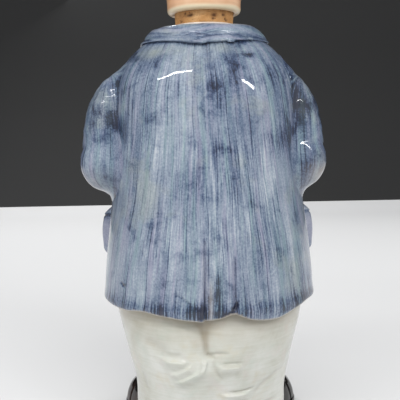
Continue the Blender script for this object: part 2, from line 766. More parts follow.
# Middle of the upper arm as shares of the jacket: out, forwards and up, and its thickness.
UPPER_ARM_SHARES = [
    (0.620, -0.02, 0.811, 0.615),
    (0.733, -0.02, 0.777, 0.845),
    (0.831, -0.03, 0.713, 1.000),
    (0.884, -0.04, 0.619, 1.008),
    (0.893, -0.06, 0.558, 0.992),
    (0.899, -0.07, 0.513, 0.975),
]
# The arms are made by hand and don't stand out equally far: both lie this much more to the figure's left.
ARM_SHIFT = 1.7
ARM_POINTS = [jacket_point(*row[:3]) for row in UPPER_ARM_SHARES]
ELBOW = ARM_POINTS[-1]
CUFF = jacket_point(0.845, 0.58, 0.442)
FOREARM = (CUFF - ELBOW) / np.linalg.norm(CUFF - ELBOW)
FOREARM_RADII = [SLEEVE_RADIUS * share for share in (0.96, 0.91, 0.80)]
upper_arm = limb(ARM_POINTS, [row[3] * SLEEVE_RADIUS for row in UPPER_ARM_SHARES])
forearm = limb([ELBOW, (ELBOW + CUFF) / 2, CUFF + FOREARM * 9], FOREARM_RADII, 8)
cuff_hollow = limb([CUFF - FOREARM * 3, CUFF + FOREARM * 12], [8.3, 8.6], 4)


def arm(x, y, z):
    """The left arm's cloth, with a turned cuff and folds inside the elbow."""
    reach = sum((p - c) * way for p, c, way in zip((x, y, z), CUFF, FOREARM))
    lower = forearm(x, y, z) - 0.5 * smooth_step(-8.6, -8.0, reach) + 0.35 * bump(reach + 8.8, 0.5)
    whole = join(upper_arm(x, y, z), common(lower, reach, 1.0), 6.0)
    inside_elbow = bump(y - ELBOW[1] + 9, 8) * bump(z - ELBOW[2] - 7, 9)
    whole += 0.9 * inside_elbow * np.sin((z - 0.8 * y) * 0.95) - 0.2 * wander(x, y, z, 16, 8)
    whole -= 0.4 * bump(z - 150 - 0.5 * (y + 2), 3.2) * smooth_step(0, 8, y)
    whole += 0.35 * bump(z - 143 - 0.3 * y, 2.4)
    return np.maximum(whole, -cuff_hollow(x, y, z))


def arms(x, y, z):
    """Both arms' plain bars."""
    out = np.abs(x - ARM_SHIFT)
    return np.minimum(upper_arm(out, y, z), forearm(out, y, z))


def armhole(z):
    """How clearly the armhole's line shows at a height: it melts into the torso above and below."""
    return smooth_step(147, 156, z) * smooth_step(184, 175, z)


def sleeve(shift):
    """The left sleeve, moved sideways by shift, with a soft foot where it meets the torso."""
    def field(x, y, z):
        cloth = arm(x - shift, y, z)
        body = torso(x, y, z)
        foot = 1.4 + (4.6 - 3.6 * armhole(z)) * smooth_step(-18, -6, y)
        return laid_on(np.maximum(join(cloth, body, foot), cloth - foot * 0.95), body, 1.2)

    return field


POCKET_TURN_DEG = 52.0
POCKET_HALF_WIDTH = 17.5
POCKET_TOP_Z = 114.5
POCKET_BOTTOM_Z = 85.0
POCKET_CORNER = 7.0
POCKET_OUT = np.array([sin(radians(POCKET_TURN_DEG)), -cos(radians(POCKET_TURN_DEG)), 0.0])
POCKET_ALONG = np.array([cos(radians(POCKET_TURN_DEG)), sin(radians(POCKET_TURN_DEG)), 0.0])


def on_cloth(z):
    """The point of the plain oval that faces the way the left pocket does."""
    heights, widths, depths, middles = np.array(JACKET_ROWS).T
    a = np.interp(z, heights, widths)
    b = np.interp(z, heights, depths)
    spread = np.hypot(a * POCKET_OUT[0], b * POCKET_OUT[1])
    y = np.interp(z, heights, middles) + b * b * POCKET_OUT[1] / spread
    return np.array([a * a * POCKET_OUT[0] / spread, y, z])


def from_point(point, x, y, z):
    """Along the cloth (backwards), up and outwards from a point at the left pocket."""
    offset = (x - point[0], y - point[1], z - point[2])
    along = offset[0] * POCKET_ALONG[0] + offset[1] * POCKET_ALONG[1]
    out = offset[0] * POCKET_OUT[0] + offset[1] * POCKET_OUT[1]
    return along, offset[2], out


POCKET_MIDDLE = on_cloth((POCKET_TOP_Z + POCKET_BOTTOM_Z) / 2)
hand_swell = ellipsoid((0, 0, 0), (15.5, 19.0, 6.6))


def pocket(x, y, z):
    """The left patch pocket, swollen by the hand in it, with a welt along its top."""
    along, up, out = from_point(POCKET_MIDDLE, x, y, z)
    half_height = (POCKET_TOP_Z - POCKET_BOTTOM_Z) / 2
    edge_u = np.abs(along) - POCKET_HALF_WIDTH + POCKET_CORNER
    edge_v = np.abs(up) - half_height + POCKET_CORNER
    corner = np.hypot(np.maximum(edge_u, 0), np.maximum(edge_v, 0))
    edge = corner + np.minimum(np.maximum(edge_u, edge_v), 0) - POCKET_CORNER
    body = torso(x, y, z)
    face = join(body - 1.8, hand_swell(along, up, out), 5.0)
    face -= 0.5 * smooth_step(half_height - 5.6, half_height - 5.0, up)
    face += 0.4 * bump(up - half_height + 5.4, 0.45) - 0.2 * wander(x, y, z, 15, 12)
    face += 0.3 * bump(edge + 1.9, 0.35) * smooth_step(half_height - 5, half_height - 7, up)
    face -= 3.4 * smooth_step(4, 15, along) * smooth_step(half_height + 2, half_height - 7, np.abs(up))
    patch = common(common(face, edge, 1.3), out - 16, 1.0)
    return np.maximum(laid_on(patch, body), -(out + 14))


PALM = on_cloth(POCKET_TOP_Z) + POCKET_OUT * 3.4
WRIST = CUFF - FOREARM * 3
WRIST_POINTS = [WRIST, (WRIST + PALM) / 2 + POCKET_OUT * 0.8, PALM - np.array([0, 0, 6.0])]
# Middle of the thumb from the palm's: forwards along the cloth, up, and outwards.
THUMB_STEPS = [(1.5, 9.0, 1.0), (6.5, 5.0, 1.8), (10.5, -1.0, 2.6), (13.4, -7.5, 2.6)]
THUMB_POINTS = [
    PALM + POCKET_OUT * out - POCKET_ALONG * ahead + np.array([0, 0, up]) for ahead, up, out in THUMB_STEPS
]
THUMB_TIP = THUMB_POINTS[-1]
FINGER_GAPS = (-3.2, 0.6, 4.2)
palm_form = ellipsoid((0, 0, 0), (8.4, 12.0, 4.8))
wrist_form = limb(WRIST_POINTS, [6.4, 6.3, 5.2], 8)
thumb_form = limb(THUMB_POINTS, [4.2, 3.5, 2.9, 2.75], 10)
nail_form = ellipsoid(THUMB_TIP + POCKET_OUT * 2.3 + np.array([0, 0, 0.6]), (1.5, 1.3, 2.1))


def hand(x, y, z):
    """The left hand on its way into the pocket, with the thumb outside."""
    along, up, out = from_point(PALM, x, y, z)
    flesh = join(palm_form(along, up, out), wrist_form(x, y, z), 4.0)
    for gap in FINGER_GAPS:
        flesh += 0.35 * bump(along - gap, 0.9) * smooth_step(1, -6, up)
    flesh = join(flesh, thumb_form(x, y, z), 3.0)
    flesh += 0.25 * bump(nail_form(x, y, z), 0.25)
    return laid_on(flesh, torso(x, y, z))


# Collar, lapels, shirt and buttons

COLLAR_BASE_Z = 190.0
COLLAR_HALF_WIDTH = 35.8
COLLAR_HALF_DEPTH = 28.4
COLLAR_MIDDLE_Y = 0.5
COLLAR_SHARES = [
    (-0.30, 1.060, 1.050),
    (0.00, 1.000, 1.000),
    (0.26, 0.910, 0.955),
    (0.52, 0.840, 0.910),
    (0.78, 0.780, 0.870),
    (0.93, 0.745, 0.840),
    (1.04, 0.720, 0.820),
]
BAND_RADIUS = 20.2
TUBE_RADIUS = 17.6
LAPEL_TIP_Z = 149.0
LAPEL_NOTCH_Z = 178.0
SHIRT_HALF_WIDTH = 11.0
SHIRT_BUTTONS_Z = (158, 168, 178, 188)

collar_rise = COLLAR_TOP_Z - COLLAR_BASE_Z
collar_oval = oval_body([
    (COLLAR_BASE_Z + z * collar_rise, a * COLLAR_HALF_WIDTH, b * COLLAR_HALF_DEPTH, COLLAR_MIDDLE_Y)
    for z, a, b in COLLAR_SHARES
], 1.0)

# Short ridges on the collar's back: start and end as x and z, and half width.
COLLAR_RIDGES = [
    ((-1.6, 194.7), (7.4, 195.9), 0.75),
    ((-0.4, 191.2), (9.6, 192.8), 0.75),
    ((-12.8, 194.2), (-8.2, 195.2), 0.70),
    ((-14.0, 191.5), (-10.0, 191.8), 0.65),
    ((-22.0, 193.6), (-20.0, 194.2), 0.60),
]


def collar(x, y, z):
    """The rolled collar: a rounded top, a soft lower edge on the back and two points in front."""
    far_side = np.abs(x)
    cloth = torso(x, y, z)
    lower_edge = COLLAR_BASE_Z + 4.2 - 2.6 * bump(x, 20) + 0.3 * wander(x, y, z * 0, 40, 21)
    lower_edge -= 3.5 * smooth_step(2, -10, y) * smooth_step(12, 26, far_side)
    outside = collar_oval(x, y, z) - 0.35 * bump(z - 193.6, 1.3)
    outside += 0.42 * bump(z - 195.6 - 0.03 * x, 1.1) - 0.2 * bump(z - 197.6, 1.4)
    stand = 1.9 - 1.6 * smooth_step(8, 26, far_side) + 9.0 * smooth_step(191.5, 198.5, z)
    outside = common(outside, cloth - stand, 1.2)
    body = common(common(outside, lower_edge - z, 1.3), z - COLLAR_TOP_Z, 2.6)
    body = common(body, BAND_RADIUS - np.hypot(x, y), 1.6)
    opening = np.where(y < 0, (9.0 + 0.45 * (z - COLLAR_TOP_Z)) - far_side, -50.0)
    body = common(body, opening, 1.2)
    for start, end, width in COLLAR_RIDGES:
        body -= 0.72 * (y > 0) * crease(x, z, start, end, 0.2, width)
    return laid_on(body - 0.12 * wander(x, y, z, 13, 22), cloth)


lapel_outline = outline([
    (0.2, LAPEL_TIP_Z),
    (SHIRT_HALF_WIDTH, 193.0),
    (SHIRT_HALF_WIDTH * 1.9, 190.5),
    (16.8, LAPEL_NOTCH_Z),
    (24.0, LAPEL_NOTCH_Z + 2.3),
    (10.8, 160.5),
])


def lapel(x, y, z):
    """The left lapel, lying on the chest with a rolled inner edge."""
    edge = lapel_outline(x, z)
    body = torso(x, y, z)
    face = body - 2.0 - 0.5 * bump(edge + 1.2, 1.3) - 0.12 * wander(x, y, z, 9, 31)
    return np.maximum(laid_on(common(face, edge, 1.5), body), y + 4)


def shirt_front(x, y, z):
    """The shirt between the lapels, with its placket."""
    half_width = SHIRT_HALF_WIDTH * np.clip((z - LAPEL_TIP_Z + 3) / 44, 0, 1.3)
    edge = np.maximum(np.abs(x) - half_width - 0.8, z - 199.0)
    body = torso(x, y, z)
    face = body - 0.9 - 0.5 * smooth_step(2.6, 2.2, np.abs(x)) + 0.2 * bump(np.abs(x) - 2.4, 0.35)
    for height in SHIRT_BUTTONS_Z:
        face -= 0.55 * smooth_step(1.25, 0.95, np.hypot(x, z - height))
    return np.maximum(laid_on(common(face, edge, 0.5), body), y + 4)


BUTTON_RADIUS = 3.4
HOLE_OFFSET = 0.65
BUTTON_Z = [HEM_Z + share * JACKET_RISE for share in (0.575, 0.345, 0.215)]


def button(middle_z):
    """A round jacket button with a rim and four thread holes."""
    def field(x, y, z):
        across = np.hypot(x, z - middle_z)
        body = torso(x, y, z)
        face = body - 1.9 - 0.45 * bump(across - 2.7, 0.5)
        for hole_x in (-HOLE_OFFSET, HOLE_OFFSET):
            for hole_z in (-HOLE_OFFSET, HOLE_OFFSET):
                face += 0.6 * bump(np.hypot(x - hole_x, z - middle_z - hole_z), 0.3)
        return np.maximum(laid_on(common(face, across - BUTTON_RADIUS, 0.8), body, 0.8), y)

    return field


# Trousers and shoes

# Folds of the trousers behind and in front: start, end, bow, width and height, negative in a crease.
SEAT_FOLDS = [
    ((2.2, 51.2), (-1.6, 49.6), 0.3, 0.8, -0.9),
    ((1.5, 50.8), (-8.0, 51.2), -0.2, 0.9, -0.6),
    ((21.0, 50.4), (13.5, 50.6), 0.4, 1.4, -0.45),
    ((31.0, 56.0), (20.5, 50.4), -1.0, 3.0, -0.5),
    ((23.0, 47.5), (11.0, 47.0), 0.3, 0.9, 1.55),
    ((18.5, 39.8), (8.6, 45.6), 0.4, 0.9, 1.35),
    ((16.6, 36.0), (2.4, 44.6), 0.5, 0.9, 1.35),
    ((4.6, 47.2), (1.8, 46.6), 0.0, 1.0, 1.10),
    ((-5.0, 46.2), (-14.0, 45.9), -0.2, 0.8, -0.5),
    ((-3.6, 44.6), (-14.0, 44.1), -0.2, 0.9, 1.45),
    ((-1.0, 47.5), (-5.4, 38.0), 0.8, 1.0, -0.55),
    ((-8.4, 31.2), (-20.0, 32.2), 0.5, 0.7, -0.75),
    ((-5.0, 29.8), (-17.0, 29.6), 0.3, 0.9, 1.30),
    ((-19.5, 28.6), (-33.5, 37.4), -1.4, 1.3, -0.50),
    ((32.6, 37.6), (30.4, 28.0), 0.5, 1.0, -0.50),
    ((10.0, 14.0), (31.0, 16.0), 1.6, 1.0, -0.6),
    ((-8.0, 18.0), (-32.0, 22.0), -1.8, 1.0, -0.5),
    ((-8.0, 15.0), (-32.0, 18.4), -1.8, 1.6, 0.6),
]
SHIN_FOLDS = [
    ((7.0, 30.0), (33.0, 26.0), 1.6, 1.0, -0.8),
    ((7.0, 27.0), (33.0, 22.6), 1.6, 1.9, 0.8),
    ((8.0, 18.0), (32.0, 15.0), 1.6, 1.0, -0.8),
    ((3.0, 52.0), (20.0, 60.0), 0.8, 1.1, -0.7),
    ((3.0, 49.0), (22.0, 55.0), 0.8, 1.6, 0.7),
]


def seam_x(z):
    """Where the seat's seam runs at a height."""
    return 2.2 + 1.3 * smooth_step(52, 68, z)


def trousers(x, y, z):
    """Ivory trousers: seat, fused legs, folds under the seat and wrinkles that fan from the crotch."""
    seam = x - seam_x(z)
    spread = 1.3 + 1.5 * smooth_step(54, 68, z)
    back = -bump(seam, spread) * smooth_step(49, 53, z) * smooth_step(76, 68, z)
    back -= 1.6 * bump(seam, 8) * smooth_step(42, 52, z)
    back -= (0.5 * bump(x + 1, 2.4) + bump(x + 1, 9)) * smooth_step(46, 30, z)
    back += 0.8 * (bump(x - 20, 15) + bump(x + 20, 15)) * bump(z - 58, 9)
    for start, end, bend, width, height in SEAT_FOLDS:
        soft = 3.6 * width if height > 0 else width
        back += height * crease(x, z, start, end, bend, width, soft)
    front = -(1.6 * bump(x, 1.8) + 2.0 * bump(x, 10)) * smooth_step(58, 40, z)
    front -= 0.5 * bump(x - 1.5, 0.6) * smooth_step(52, 58, z)
    for start, end, bend, width, height in SHIN_FOLDS:
        for side in (1, -1):
            front += height * crease(x * side, z, start, end, bend, width)
    relief = back * smooth_step(3, 12, y) + front * smooth_step(3, 12, -y)
    return trousers_oval(x, y, z) - relief - 0.15 * wander(x, y, z, 24, 41)


SHOE_LENGTH = 68.0
SHOE_HALF_WIDTH = 11.8
SHOE_HEIGHT = 17.5
SHOE_SHARES = [
    (0.000, 0.40, 0.55),
    (0.045, 0.70, 0.80),
    (0.150, 0.88, 0.98),
    (0.350, 0.84, 1.00),
    (0.580, 0.96, 0.97),
    (0.760, 1.04, 0.86),
    (0.890, 0.94, 0.74),
    (0.965, 0.66, 0.58),
    (1.000, 0.34, 0.36),
]
SOLE_THICKNESS = 3.2
SOLE_LIP = 0.9
SHOE_TURN = radians(23.5)
HEEL_X = 12.5
HEEL_Y = 20.0
LACE_SHARES = (0.630, 0.665, 0.700)
shoe_places, shoe_widths, shoe_heights = np.transpose(SHOE_SHARES)
shoe_width = smooth_curve(shoe_places, shoe_widths * SHOE_HALF_WIDTH)
shoe_height = smooth_curve(shoe_places, shoe_heights * SHOE_HEIGHT)


def shoe_measures(x, y):
    """Along the left shoe from its heel, and across it."""
    along = (x - HEEL_X) * sin(SHOE_TURN) - (y - HEEL_Y) * cos(SHOE_TURN)
    across = (x - HEEL_X) * cos(SHOE_TURN) + (y - HEEL_Y) * sin(SHOE_TURN)
    return along, across


def shoe(x, y, z):
    """The left shoe: sole with a welt, upper with a toe cap, tongue and laces."""
    along, across = shoe_measures(x, y)
    share = along / SHOE_LENGTH
    width = shoe_width(share)
    height = shoe_height(share)
    up = z - SOLE_THICKNESS + 0.6
    ratio = np.sqrt((across / width) ** 2 + (np.maximum(up, 0) / height) ** 2) + 1e-6
    upper = (ratio - 1) * np.minimum(width, height) * 0.9
    ends = np.abs(along - SHOE_LENGTH / 2) - SHOE_LENGTH / 2
    upper = common(common(upper, ends, 5.0), -up, 0.3)
    upper += 0.35 * bump(share - 0.768, 0.006) - 0.35 * smooth_step(0.770, 0.778, share)
    upper -= 0.3 * bump(across, 5.5) * smooth_step(0.60, 0.63, share) * smooth_step(0.74, 0.72, share)
    for lace in LACE_SHARES:
        upper -= 0.8 * bump(share - lace, 0.010) * bump(across, 4.2)
    beside = np.abs(across) - width - SOLE_LIP
    beyond = ends - SOLE_LIP
    corner = np.hypot(np.maximum(beside + 2, 0), np.maximum(beyond + 5, 0)) - 3.8
    flat = np.abs(z - SOLE_THICKNESS / 2) - SOLE_THICKNESS / 2
    sole = common(np.maximum(np.maximum(beside, beyond), corner), flat, 0.8)
    return join(upper, sole, 0.6)


# Head and hair

HEAD_SHARES = [
    (0.115, 0.780, 0.690, 0.08),
    (0.190, 0.800, 0.820, 0.17),
    (0.290, 0.890, 0.900, 0.145),
    (0.430, 0.980, 0.970, 0.085),
    (0.580, 1.000, 1.000, 0.04),
    (0.740, 1.000, 1.000, 0.04),
]
NECK_RADIUS = 17.9
EYE_Z = HEAD_BASE_Z + 0.590 * HEAD_HEIGHT
BROW_Z = HEAD_BASE_Z + 0.662 * HEAD_HEIGHT
NOSE_Z = HEAD_BASE_Z + 0.430 * HEAD_HEIGHT
MOUTH_Z = HEAD_BASE_Z + 0.338 * HEAD_HEIGHT
CHIN_Z = HEAD_BASE_Z + 0.215 * HEAD_HEIGHT
EYE_X = 10.2
EYE_Y = -22.6
EYE_RADIUS = 4.6


CROWN_Z = HEAD_BASE_Z + 0.58 * HEAD_HEIGHT
CROWN_HEIGHT = 0.41 * HEAD_HEIGHT
CROWN_Y = -0.04 * HEAD_HALF_DEPTH
CROWN_POWER = 2.5
NECK_ROWS = [(HEAD_BASE_Z + share * HEAD_HEIGHT, NECK_RADIUS, NECK_RADIUS, 0) for share in (0, 0.06)]
SKULL_ROWS = body_rows(HEAD_SHARES, HEAD_BASE_Z, HEAD_HEIGHT, HEAD_HALF_WIDTH, HEAD_HALF_DEPTH)
lower_skull = oval_body(NECK_ROWS + SKULL_ROWS, 2.4)


def bar(base, rows, steps):
    """A limb from rows of x, y, z and radius, its points counted from a base."""
    return limb([np.add(base, row[:3]) for row in rows], [row[3] for row in rows], steps)


def crown(x, y, z):
    """The top of the skull: a dome a little fuller than a ball."""
    a, b, c, power = HEAD_HALF_WIDTH, HEAD_HALF_DEPTH, CROWN_HEIGHT, CROWN_POWER
    away = y - CROWN_Y
    flat = np.sqrt((x / a) ** 2 + (away / b) ** 2) + 1e-6
    up = np.maximum(z - CROWN_Z, 0) / c
    ratio = (flat**power + up**power) ** (1 / power)
    flat_slope = np.sqrt((x / a**2) ** 2 + (away / b**2) ** 2) / flat * flat ** (power - 1)
    slope = ratio ** (1 - power) * np.hypot(flat_slope, up ** (power - 1) / c)
    return (ratio - 1) / np.maximum(slope, 0.5 / a)


def skull(x, y, z):
    return np.where(z > CROWN_Z, crown(x, y, z), lower_skull(x, y, z))


FACE_Y = -HEAD_HALF_DEPTH * 1.04
MOUTH_Y = FACE_Y - 1.4
NOSE_BASE = (0, FACE_Y, NOSE_Z)
BROW_BASE = (0, FACE_Y, BROW_Z)
MOUTH_BASE = (0, MOUTH_Y, MOUTH_Z)
cheek = ellipsoid((11.5, -20.5, NOSE_Z + 1.5), (8.5, 7.5, 9.0))
chin = ellipsoid((0, -26.4, CHIN_Z + 1.5), (8.5, 6.3, 6.0))
jaw = ellipsoid((0, -13, CHIN_Z + 5), (18.5, 16.5, 9.5))
brow_ridge = bar(BROW_BASE, [(3.0, 2.4, -1.0, 2.6), (9.5, 3.0, 0.8, 2.9), (16.5, 9.0, -1.5, 2.4)], 8)
brow_line = bar(BROW_BASE, [(4.6, 0, 1.2, 1.0), (10.0, 1.0, 2.9, 1.2), (16.8, 7.5, 0.4, 0.5)], 10)
socket = ellipsoid((EYE_X, EYE_Y - 7.2, EYE_Z + 0.4), (7.2, 5.6, 4.6))
lids = ellipsoid((EYE_X, EYE_Y, EYE_Z), (EYE_RADIUS + 0.75,) * 3)
nose_bridge = bar(NOSE_BASE, [
    (0, 1.2, BROW_Z - NOSE_Z - 1, 2.6),
    (0, -1.0, EYE_Z - NOSE_Z - 1, 2.3),
    (0, -2.7, 6, 2.6),
    (0, -3.9, 1.8, 3.3),
], 10)
nose_wing = ellipsoid((3.8, FACE_Y - 1.2, NOSE_Z + 0.4), (2.3, 3.1, 2.4))
nostril = bar(NOSE_BASE, [(2.1, -2.4, -3.2, 0.9), (2.3, -2.0, -0.8, 0.7)], 4)
upper_lip = bar(MOUTH_BASE, [
    (0, 0, 0.9, 1.35), (2.4, -0.1, 1.35, 1.45), (5.2, 1.1, 0.7, 1.0), (7.6, 3.4, 0, 0.4),
], 10)
lower_lip = bar(MOUTH_BASE, [(0, -0.1, -1.6, 1.75), (3.4, 0.4, -1.4, 1.5), (7.2, 3.2, -0.3, 0.4)], 10)
mouth_line = bar(MOUTH_BASE, [
    (0, -1.6, -0.05, 0.42), (2.2, -1.6, 0.2, 0.42), (5.2, -0.2, 0, 0.4), (8.2, 2.8, 0.3, 0.5),
], 10)
EAR_Z = (EYE_Z + NOSE_Z) / 2
ear_shell = ellipsoid((0, 0, 0), (3.0, 5.6, 8.6))
ear_bowl = ellipsoid((2.6, -0.8, -0.4), (2.5, 3.0, 4.6))
ear_rim = bar((0, 0, 0), [
    (1.2, -3.6, 1.0, 0.9), (1.6, -3.4, 5.0, 1.1), (1.8, 0.2, 7.6, 1.2), (1.9, 4.2, 5.0, 1.2),
    (1.9, 4.6, 0.0, 1.1), (1.6, 2.6, -4.6, 1.0), (1.3, -0.6, -7.0, 1.5),
], 16)


def ear(x, y, z):
    """One ear, leaning back and standing a little off the head."""
    lean = radians(12)
    side = x - HEAD_HALF_WIDTH - 0.2 + 0.18 * (y + 2)
    ahead = (y - 2.5) * cos(lean) - (z - EAR_Z) * sin(lean)
    up = (y - 2.5) * sin(lean) + (z - EAR_Z) * cos(lean)
    form = common(ear_shell(side, ahead, up), -ear_bowl(side, ahead, up), 0.8)
    return join(form, ear_rim(side, ahead, up), 1.0)


def eye_opening(x, z):
    """Distance from the edge of the opening between the lids, seen from in front."""
    return np.hypot(x - EYE_X, np.abs(z - EYE_Z - 0.1) + 3.2) - 5.1


def cork_radius(z):
    share = (z - CORK_BOTTOM_Z) / (CORK_TOP_Z - CORK_BOTTOM_Z)
    return CORK_BOTTOM_RADIUS + (CORK_TOP_RADIUS - CORK_BOTTOM_RADIUS) * share


def bare_head(x, y, z):
    """The head without hair. The face is made once and mirrored, so x is taken without its sign."""
    x = np.abs(x)
    form = skull(x, y, z)
    for part, fillet in ((jaw, 6.0), (chin, 5.0), (cheek, 7.0), (brow_ridge, 4.0)):
        form = join(form, part(x, y, z), fillet)
    form = common(form, -socket(x, y, z), 3.5)
    for part, fillet in ((nose_bridge, 2.6), (nose_wing, 1.6)):
        form = join(form, part(x, y, z), fillet)
    form = common(form, -nostril(x, y, z), 0.6)
    for lip in (upper_lip, lower_lip):
        form = join(form, lip(x, y, z), 1.4)
    form += 0.55 * bump(mouth_line(x, y, z), 0.7)
    form += 0.5 * bump(np.hypot(x, z - MOUTH_Z - 4.2), 1.6) * smooth_step(-20, -24, y)
    lid = common(lids(x, y, z), -np.where(y < EYE_Y, eye_opening(x, z), 9.0), 0.35)
    form = join(form, lid, 1.2)
    form = join(form, ear(x, y, z), 1.6)
    bore = np.maximum(np.hypot(x, y) - cork_radius(z) - 0.05, z - CORK_TOP_Z)
    return common(form, -bore, 0.5)


# The hair's edge seen from the side: y, and height as a share of the head's.
HAIRLINE_SHARES = [
    (-60, 0.775), (-19.5, 0.755), (-14.5, 0.640), (-9.5, 0.455), (-4.4, 0.455), (-3.2, 0.640), (7.5, 0.650),
    (10.0, 0.430), (12.5, 0.190), (17.0, 0.118), (60, 0.118), (60, 2), (-60, 2),
]
hairline = outline([(y, share * HEAD_HEIGHT) for y, share in HAIRLINE_SHARES])
PARTING_X = 9.0


def strands(x, y, z):
    """Across and along the combed hair: down the back and sides, and sideways from the parting on top."""
    top = smooth_step(266, 278, z)
    from_parting = np.abs(x - PARTING_X)
    across = np.arctan2(x, y) * 22 * (1 - top) + (0.9 * y + 0.35 * from_parting) * top
    return across, z + from_parting * top


def lock_waves(x, y, z):
    """Locks of uneven width, between about -1 and 1."""
    across, along = strands(x, y, z)
    bent = across + 1.4 * np.sin(along * 0.13 + across * 0.21)
    fine_locks = 0.30 * np.sin(bent * 2.9 + 1.0) + 0.25 * np.sin(bent * 5.1 + 0.05 * along)
    return 0.45 * np.sin(bent * 1.3) + fine_locks


def hair(x, y, z):
    """Short combed hair, thinning out to nothing at its edges."""
    locks = lock_waves(x, y, z)
    edge = hairline(y, z - HEAD_BASE_Z) + 0.7 * locks
    thick = 2.4 * smooth_step(0.3, -4.5, edge) + 0.34 * locks * smooth_step(-0.5, -4.0, edge)
    thick -= 1.3 * bump(x - PARTING_X, 0.9) * smooth_step(262, 272, z) * smooth_step(14, 4, y)
    thick += 1.6 * bump(y + 20, 7) * bump(z - 276, 7) * smooth_step(PARTING_X + 1, PARTING_X - 4, x)
    base = skull(x, y, z)
    return np.maximum(laid_on(base - thick, base), edge)


# Pieces

# A glaze is the name of its slot and its material.
BLUE = ("blue_glaze", blue_glaze())
IVORY = ("ivory_glaze", ivory_glaze())
FLESH = ("flesh_glaze", flesh_glaze())
AUBURN = ("hair_glaze", hair_glaze())
CORK = ("cork", cork_bark())
BLACK_TONES = [(0.004, 0.003, 0.003), (0.007, 0.005, 0.004), (0.030, 0.013, 0.008)]
CREAM_TONES = [(0.62, 0.54, 0.45), (0.70, 0.63, 0.56), (0.76, 0.70, 0.64)]
NAVY_TONES = [(0.010, 0.014, 0.035), (0.020, 0.028, 0.070), (0.045, 0.060, 0.120)]
BLACK = ("black_glaze", plain_glaze("black glaze", BLACK_TONES, 60.0, 0.09, coat=0.0, specular=0.32))
CREAM = ("white_glaze", plain_glaze("cream glaze", CREAM_TONES, 70.0, 0.16))
NAVY = ("navy_glaze", plain_glaze("navy glaze", NAVY_TONES, 200.0, 0.12))
EYE_PAINT = ("flesh_glaze", eye_paint())


def pool(field, vertices, width):
    """Dark where glaze pools beside another form."""
    return bump(np.maximum(field(*vertices.T), 0), width)


def pool_on_both(field, vertices, width):
    """The same beside a left form and its mirror image."""
    return np.maximum(pool(field, vertices, width), pool(field, vertices * MIRROR, width))


# Dark smudges of stain on the back: x, z, half width, half height and strength.
SMUDGES = [
    (39.9, 153.5, 3.5, 6.0, 1.00),
    (34.0, 151.0, 6.0, 12.0, 0.30),
    (26.5, 184.0, 6.0, 3.5, 0.35),
    (-19.5, 186.2, 3.2, 1.5, 1.00),
    (-7.0, 175.0, 5.0, 7.0, 0.40),
    (-34.0, 148.0, 7.0, 4.5, 0.75),
    (-41.0, 143.0, 3.0, 7.0, 0.70),
    (-25.5, 97.5, 6.0, 13.0, 0.42),
    (-3.0, 101.5, 3.4, 8.0, 0.45),
    (-13.0, 136.0, 5.0, 13.0, 0.30),
    (13.0, 126.0, 6.0, 9.0, 0.25),
    (-3.7, 78.5, 2.2, 7.5, 1.45),
    (5.8, 72.3, 3.2, 2.9, 2.20),
    (-2.0, 70.5, 6.0, 1.8, 1.10),
    (-3.5, 88.0, 2.4, 6.0, 0.55),
    (40.0, 82.0, 1.6, 0.8, 0.80),
]


def make_jacket_piece():
    shape = sculpt(jacket, (-56, -50, 62), (56, 50, 200), 0.85)
    vertices = shape[0]
    x, y, z = vertices.T
    back = behind(y)
    slit = x - vent_x(z)
    above_hem = z - HEM_Z
    across = np.arctan2(x, y + 3.0) * (44.0 + 0.06 * (z - 150)) + 300
    across += 0.05 * (z - 130) * np.sin(np.arctan2(x, y))
    dark = 0.7 * pool(arms, vertices, 1.2) * armhole(z) + 0.80 * bump(above_hem - 3, 4.5)
    dark += 0.8 * pool(collar, vertices, 1.2) * (1 - 0.6 * smooth_step(14, 28, np.abs(x)))
    dark += 0.6 * pool_on_both(pocket, vertices, 1.0) + 0.6 * pool_on_both(lapel, vertices, 0.9)
    drawn = 0.95 * bump(slit + 0.2, 0.45) * (z < VENT_TOP_Z) + 0.17 * smooth_step(158, 176, z)
    drawn += 0.55 * bump(slit + 1.6, 1.2) * smooth_step(16, 8, above_hem)
    drawn += 0.75 * bump(x - FLAP_CREASE_X, 0.5) * smooth_step(99, 94, z) * smooth_step(6, 10, above_hem)
    for start, end, bend, width, depth in BACK_MARKS:
        drawn += 1.8 * depth * crease(x, z, start, end, bend, width)
    for middle_x, middle_z, half_width, half_height, strength in SMUDGES:
        away = np.hypot((x - middle_x) / half_width, (z - middle_z) / half_height)
        drawn += strength * bump(away, 1.0)
    seen_lining = back * bump(slit + 2.9, 0.9) * smooth_step(20, 12, above_hem)
    dark = (dark + back * drawn) * (1 - 0.8 * seen_lining)
    under_collar = back * bump(z - 189.5 + 0.06 * np.abs(x), 2.6)
    add_piece(
        "jacket_cloth", "decanter", BLUE, shape, ("jacket",),
        across=across, along=z, dark=np.clip(dark, 0, 2.2),
        bare=np.maximum(smooth_step(1.0, 0.3, z - hem_height(x, y)), 0.4 * seen_lining),
        olive=0.55 * under_collar * (bump(x - 22, 14) + 0.7 * bump(x + 8, 9)),
    )


